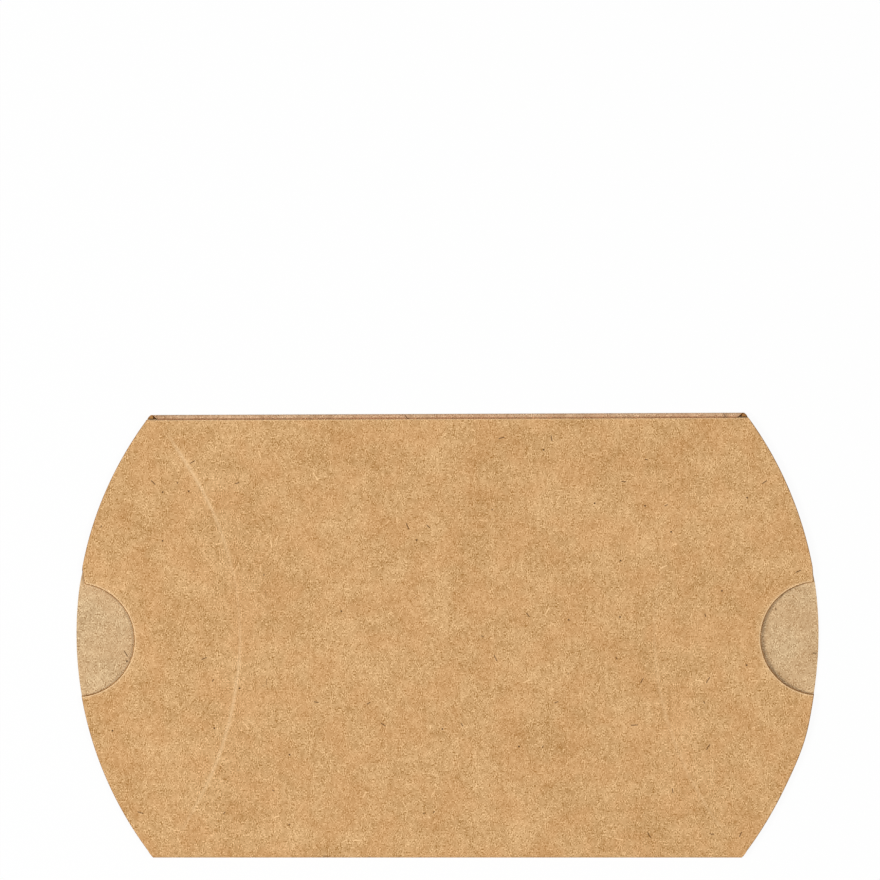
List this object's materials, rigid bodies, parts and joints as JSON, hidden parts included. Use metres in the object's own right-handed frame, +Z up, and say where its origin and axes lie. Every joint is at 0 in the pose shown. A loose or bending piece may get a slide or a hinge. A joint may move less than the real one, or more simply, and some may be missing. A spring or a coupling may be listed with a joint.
{
  "type": "pillow box",
  "caption": "Flat-packed kraft card pillow gift box with curved creases and thumb notches, which pops up into a bowed box with dished closed ends.",
  "frame": {"origin": "middle of the underside of the box as it lies flat", "axes": "+X along the box, +Y towards the glued edge, +Z up out of the front panel"},
  "size_m": [0.1126, 0.0672, 0.0013],
  "materials": {
    "kraft_card": "uncoated brown kraft card with visible fibres",
    "dried_glue": "thin dried film of paper glue"
  },
  "bodies": {
    "back_panel_band_1": {"back_panel_band_1": "kraft_card", "bottom_fold": "kraft_card"},
    "back_panel_band_2": {"back_panel_band_2": "kraft_card"},
    "back_panel_band_3": {"back_panel_band_3": "kraft_card"},
    "back_panel_band_4": {"back_panel_band_4": "kraft_card"},
    "back_panel_band_5": {"back_panel_band_5": "kraft_card", "top_fold": "kraft_card"},
    "front_panel_band_1": {"front_panel_band_1": "kraft_card"},
    "front_panel_band_2": {"front_panel_band_2": "kraft_card"},
    "front_panel_band_3": {"front_panel_band_3": "kraft_card"},
    "front_panel_band_4": {"front_panel_band_4": "kraft_card"},
    "front_panel_band_5": {"front_panel_band_5": "kraft_card", "glue_tab": "kraft_card", "glue_line": "dried_glue"},
    "back_left_flap_band_1": {"back_left_flap_band_1": "kraft_card"},
    "back_left_flap_band_2": {"back_left_flap_band_2": "kraft_card"},
    "back_left_flap_band_3": {"back_left_flap_band_3": "kraft_card"},
    "back_left_flap_band_4": {"back_left_flap_band_4": "kraft_card"},
    "back_left_flap_band_5": {"back_left_flap_band_5": "kraft_card"},
    "back_right_flap_band_1": {"back_right_flap_band_1": "kraft_card"},
    "back_right_flap_band_2": {"back_right_flap_band_2": "kraft_card"},
    "back_right_flap_band_3": {"back_right_flap_band_3": "kraft_card"},
    "back_right_flap_band_4": {"back_right_flap_band_4": "kraft_card"},
    "back_right_flap_band_5": {"back_right_flap_band_5": "kraft_card"},
    "front_left_flap_band_1": {"front_left_flap_band_1": "kraft_card"},
    "front_left_flap_band_2": {"front_left_flap_band_2": "kraft_card"},
    "front_left_flap_band_3": {"front_left_flap_band_3": "kraft_card"},
    "front_left_flap_band_4": {"front_left_flap_band_4": "kraft_card"},
    "front_left_flap_band_5": {"front_left_flap_band_5": "kraft_card"},
    "front_right_flap_band_1": {"front_right_flap_band_1": "kraft_card"},
    "front_right_flap_band_2": {"front_right_flap_band_2": "kraft_card"},
    "front_right_flap_band_3": {"front_right_flap_band_3": "kraft_card"},
    "front_right_flap_band_4": {"front_right_flap_band_4": "kraft_card"},
    "front_right_flap_band_5": {"front_right_flap_band_5": "kraft_card"}
  },
  "joints": [
    {"name": "bottom_fold_opening", "type": "hinge", "parent": "back_panel_band_1", "child": "front_panel_band_1", "pos_m": [0, -0.033, 0.00065], "axis": [1, 0, 0], "range_deg": [0, 72], "deforming": ["bottom_fold", "top_fold"]},
    {"name": "back_panel_bend_2_3", "type": "hinge", "parent": "back_panel_band_3", "child": "back_panel_band_2", "pos_m": [0, -0.0066, 0], "axis": [1, 0, 0], "range_deg": [-18, 0]},
    {"name": "back_panel_bend_1_2", "type": "hinge", "parent": "back_panel_band_2", "child": "back_panel_band_1", "pos_m": [0, -0.0198, 0], "axis": [1, 0, 0], "range_deg": [-18, 0]},
    {"name": "back_panel_bend_3_4", "type": "hinge", "parent": "back_panel_band_3", "child": "back_panel_band_4", "pos_m": [0, 0.0066, 0], "axis": [1, 0, 0], "range_deg": [0, 18]},
    {"name": "back_panel_bend_4_5", "type": "hinge", "parent": "back_panel_band_4", "child": "back_panel_band_5", "pos_m": [0, 0.0198, 0], "axis": [1, 0, 0], "range_deg": [0, 18]},
    {"name": "front_panel_bend_1_2", "type": "hinge", "parent": "front_panel_band_1", "child": "front_panel_band_2", "pos_m": [0, -0.0198, 0.0013], "axis": [1, 0, 0], "range_deg": [-18, 0]},
    {"name": "front_panel_bend_2_3", "type": "hinge", "parent": "front_panel_band_2", "child": "front_panel_band_3", "pos_m": [0, -0.0066, 0.0013], "axis": [1, 0, 0], "range_deg": [-18, 0]},
    {"name": "front_panel_bend_3_4", "type": "hinge", "parent": "front_panel_band_3", "child": "front_panel_band_4", "pos_m": [0, 0.0066, 0.0013], "axis": [1, 0, 0], "range_deg": [-18, 0]},
    {"name": "front_panel_bend_4_5", "type": "hinge", "parent": "front_panel_band_4", "child": "front_panel_band_5", "pos_m": [0, 0.0198, 0.0013], "axis": [1, 0, 0], "range_deg": [-18, 0]},
    {"name": "back_left_flap_crease", "type": "hinge", "parent": "back_panel_band_3", "child": "back_left_flap_band_3", "pos_m": [-0.03129, 0, 0], "axis": [0, 1, 0], "range_deg": [0, 90], "deforming": ["back_left_flap_band_3"]},
    {"name": "back_left_flap_bend_2_3", "type": "hinge", "parent": "back_left_flap_band_3", "child": "back_left_flap_band_2", "pos_m": [0, -0.0066, 0], "axis": [1, 0, 0], "range_deg": [0, 18], "deforming": ["back_left_flap_band_2"]},
    {"name": "back_left_flap_bend_1_2", "type": "hinge", "parent": "back_left_flap_band_2", "child": "back_left_flap_band_1", "pos_m": [0, -0.0198, 0], "axis": [1, 0, 0], "range_deg": [0, 18], "deforming": ["back_left_flap_band_1"]},
    {"name": "back_left_flap_bend_3_4", "type": "hinge", "parent": "back_left_flap_band_3", "child": "back_left_flap_band_4", "pos_m": [0, 0.0066, 0], "axis": [1, 0, 0], "range_deg": [-18, 0], "deforming": ["back_left_flap_band_4"]},
    {"name": "back_left_flap_bend_4_5", "type": "hinge", "parent": "back_left_flap_band_4", "child": "back_left_flap_band_5", "pos_m": [0, 0.0198, 0], "axis": [1, 0, 0], "range_deg": [-18, 0], "deforming": ["back_left_flap_band_5"]},
    {"name": "back_right_flap_crease", "type": "hinge", "parent": "back_panel_band_3", "child": "back_right_flap_band_3", "pos_m": [0.03129, 0, 0], "axis": [0, 1, 0], "range_deg": [-90, 0], "deforming": ["back_right_flap_band_3"]},
    {"name": "back_right_flap_bend_2_3", "type": "hinge", "parent": "back_right_flap_band_3", "child": "back_right_flap_band_2", "pos_m": [0, -0.0066, 0], "axis": [1, 0, 0], "range_deg": [0, 18], "deforming": ["back_right_flap_band_2"]},
    {"name": "back_right_flap_bend_1_2", "type": "hinge", "parent": "back_right_flap_band_2", "child": "back_right_flap_band_1", "pos_m": [0, -0.0198, 0], "axis": [1, 0, 0], "range_deg": [0, 18], "deforming": ["back_right_flap_band_1"]},
    {"name": "back_right_flap_bend_3_4", "type": "hinge", "parent": "back_right_flap_band_3", "child": "back_right_flap_band_4", "pos_m": [0, 0.0066, 0], "axis": [1, 0, 0], "range_deg": [-18, 0], "deforming": ["back_right_flap_band_4"]},
    {"name": "back_right_flap_bend_4_5", "type": "hinge", "parent": "back_right_flap_band_4", "child": "back_right_flap_band_5", "pos_m": [0, 0.0198, 0], "axis": [1, 0, 0], "range_deg": [-18, 0], "deforming": ["back_right_flap_band_5"]},
    {"name": "front_left_flap_crease", "type": "hinge", "parent": "front_panel_band_3", "child": "front_left_flap_band_3", "pos_m": [-0.03189, 0, 0.0013], "axis": [0, 1, 0], "range_deg": [-90, 0], "deforming": ["front_left_flap_band_3"]},
    {"name": "front_left_flap_bend_2_3", "type": "hinge", "parent": "front_left_flap_band_3", "child": "front_left_flap_band_2", "pos_m": [0, -0.0066, 0.0013], "axis": [1, 0, 0], "range_deg": [-18, 0], "deforming": ["front_left_flap_band_2"]},
    {"name": "front_left_flap_bend_1_2", "type": "hinge", "parent": "front_left_flap_band_2", "child": "front_left_flap_band_1", "pos_m": [0, -0.0198, 0.0013], "axis": [1, 0, 0], "range_deg": [-18, 0], "deforming": ["front_left_flap_band_1"]},
    {"name": "front_left_flap_bend_3_4", "type": "hinge", "parent": "front_left_flap_band_3", "child": "front_left_flap_band_4", "pos_m": [0, 0.0066, 0.0013], "axis": [1, 0, 0], "range_deg": [0, 18], "deforming": ["front_left_flap_band_4"]},
    {"name": "front_left_flap_bend_4_5", "type": "hinge", "parent": "front_left_flap_band_4", "child": "front_left_flap_band_5", "pos_m": [0, 0.0198, 0.0013], "axis": [1, 0, 0], "range_deg": [0, 18], "deforming": ["front_left_flap_band_5"]},
    {"name": "front_right_flap_crease", "type": "hinge", "parent": "front_panel_band_3", "child": "front_right_flap_band_3", "pos_m": [0.03189, 0, 0.0013], "axis": [0, 1, 0], "range_deg": [0, 90], "deforming": ["front_right_flap_band_3"]},
    {"name": "front_right_flap_bend_2_3", "type": "hinge", "parent": "front_right_flap_band_3", "child": "front_right_flap_band_2", "pos_m": [0, -0.0066, 0.0013], "axis": [1, 0, 0], "range_deg": [-18, 0], "deforming": ["front_right_flap_band_2"]},
    {"name": "front_right_flap_bend_1_2", "type": "hinge", "parent": "front_right_flap_band_2", "child": "front_right_flap_band_1", "pos_m": [0, -0.0198, 0.0013], "axis": [1, 0, 0], "range_deg": [-18, 0], "deforming": ["front_right_flap_band_1"]},
    {"name": "front_right_flap_bend_3_4", "type": "hinge", "parent": "front_right_flap_band_3", "child": "front_right_flap_band_4", "pos_m": [0, 0.0066, 0.0013], "axis": [1, 0, 0], "range_deg": [0, 18], "deforming": ["front_right_flap_band_4"]},
    {"name": "front_right_flap_bend_4_5", "type": "hinge", "parent": "front_right_flap_band_4", "child": "front_right_flap_band_5", "pos_m": [0, 0.0198, 0.0013], "axis": [1, 0, 0], "range_deg": [0, 18], "deforming": ["front_right_flap_band_5"]}
  ],
  "couplings": [
    {"joint": "back_panel_bend_2_3", "follows": "bottom_fold_opening", "ratio": -0.25},
    {"joint": "back_panel_bend_1_2", "follows": "bottom_fold_opening", "ratio": -0.25},
    {"joint": "back_panel_bend_3_4", "follows": "bottom_fold_opening", "ratio": 0.25},
    {"joint": "back_panel_bend_4_5", "follows": "bottom_fold_opening", "ratio": 0.25},
    {"joint": "front_panel_bend_1_2", "follows": "bottom_fold_opening", "ratio": -0.25},
    {"joint": "front_panel_bend_2_3", "follows": "bottom_fold_opening", "ratio": -0.25},
    {"joint": "front_panel_bend_3_4", "follows": "bottom_fold_opening", "ratio": -0.25},
    {"joint": "front_panel_bend_4_5", "follows": "bottom_fold_opening", "ratio": -0.25},
    {"joint": "back_left_flap_crease", "follows": "bottom_fold_opening", "ratio": 1.25},
    {"joint": "back_left_flap_bend_2_3", "follows": "bottom_fold_opening", "ratio": 0.25},
    {"joint": "back_left_flap_bend_1_2", "follows": "bottom_fold_opening", "ratio": 0.25},
    {"joint": "back_left_flap_bend_3_4", "follows": "bottom_fold_opening", "ratio": -0.25},
    {"joint": "back_left_flap_bend_4_5", "follows": "bottom_fold_opening", "ratio": -0.25},
    {"joint": "back_right_flap_crease", "follows": "bottom_fold_opening", "ratio": -1.25},
    {"joint": "back_right_flap_bend_2_3", "follows": "bottom_fold_opening", "ratio": 0.25},
    {"joint": "back_right_flap_bend_1_2", "follows": "bottom_fold_opening", "ratio": 0.25},
    {"joint": "back_right_flap_bend_3_4", "follows": "bottom_fold_opening", "ratio": -0.25},
    {"joint": "back_right_flap_bend_4_5", "follows": "bottom_fold_opening", "ratio": -0.25},
    {"joint": "front_left_flap_crease", "follows": "bottom_fold_opening", "ratio": -1.25},
    {"joint": "front_left_flap_bend_2_3", "follows": "bottom_fold_opening", "ratio": -0.25},
    {"joint": "front_left_flap_bend_1_2", "follows": "bottom_fold_opening", "ratio": -0.25},
    {"joint": "front_left_flap_bend_3_4", "follows": "bottom_fold_opening", "ratio": 0.25},
    {"joint": "front_left_flap_bend_4_5", "follows": "bottom_fold_opening", "ratio": 0.25},
    {"joint": "front_right_flap_crease", "follows": "bottom_fold_opening", "ratio": 1.25},
    {"joint": "front_right_flap_bend_2_3", "follows": "bottom_fold_opening", "ratio": -0.25},
    {"joint": "front_right_flap_bend_1_2", "follows": "bottom_fold_opening", "ratio": -0.25},
    {"joint": "front_right_flap_bend_3_4", "follows": "bottom_fold_opening", "ratio": 0.25},
    {"joint": "front_right_flap_bend_4_5", "follows": "bottom_fold_opening", "ratio": 0.25}
  ]
}
